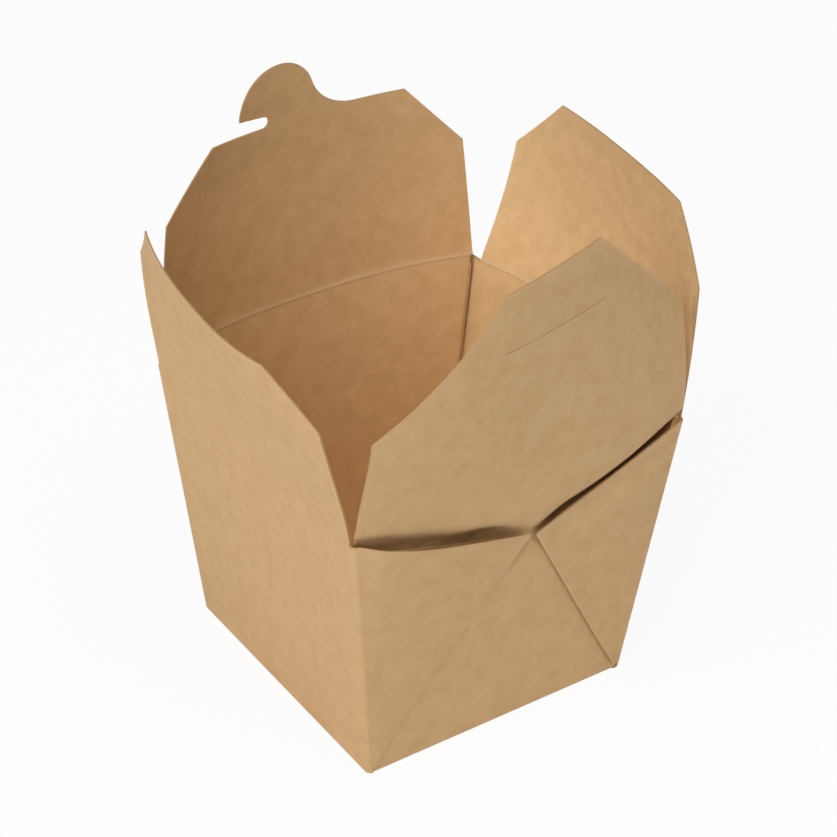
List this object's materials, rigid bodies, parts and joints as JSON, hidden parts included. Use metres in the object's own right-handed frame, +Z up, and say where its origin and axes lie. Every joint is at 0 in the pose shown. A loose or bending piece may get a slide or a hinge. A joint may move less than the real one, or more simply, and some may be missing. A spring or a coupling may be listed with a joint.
{
  "type": "noodle box",
  "caption": "Folded kraft card takeaway box: tapered square tub with folded web corners and hinged top flaps that close with a hooked tab and a slit.",
  "frame": {"origin": "centre of the base's underside", "axes": "+Z up, -Y towards the wall with the slit flap, +Y towards the flap with the hooked tab, +X to the right when facing the slit flap"},
  "size_m": [0.1383, 0.1166, 0.1614],
  "materials": {
    "kraft_card": "uncoated brown kraft board, matt, fine fibre flecks"
  },
  "bodies": {
    "carton_body": {"carton_body": "kraft_card"},
    "front_flap": {"front_flap": "kraft_card"},
    "right_flap": {"right_flap": "kraft_card"},
    "back_flap": {"back_flap": "kraft_card"},
    "left_flap": {"left_flap": "kraft_card"}
  },
  "joints": [
    {"name": "front_flap_fold", "type": "hinge", "parent": "carton_body", "child": "front_flap", "pos_m": [0, -0.0473, 0.087], "axis": [-1, 0, 0], "range_deg": [0, 89]},
    {"name": "right_flap_fold", "type": "hinge", "parent": "carton_body", "child": "right_flap", "pos_m": [0.05272, 0, 0.0855], "axis": [0, -1, 0], "range_deg": [0, 102]},
    {"name": "back_flap_fold", "type": "hinge", "parent": "carton_body", "child": "back_flap", "pos_m": [0, 0.0473, 0.087], "axis": [1, 0, 0], "range_deg": [0, 79]},
    {"name": "left_flap_fold", "type": "hinge", "parent": "carton_body", "child": "left_flap", "pos_m": [-0.05272, 0, 0.0855], "axis": [0, 1, 0], "range_deg": [0, 110]}
  ]
}
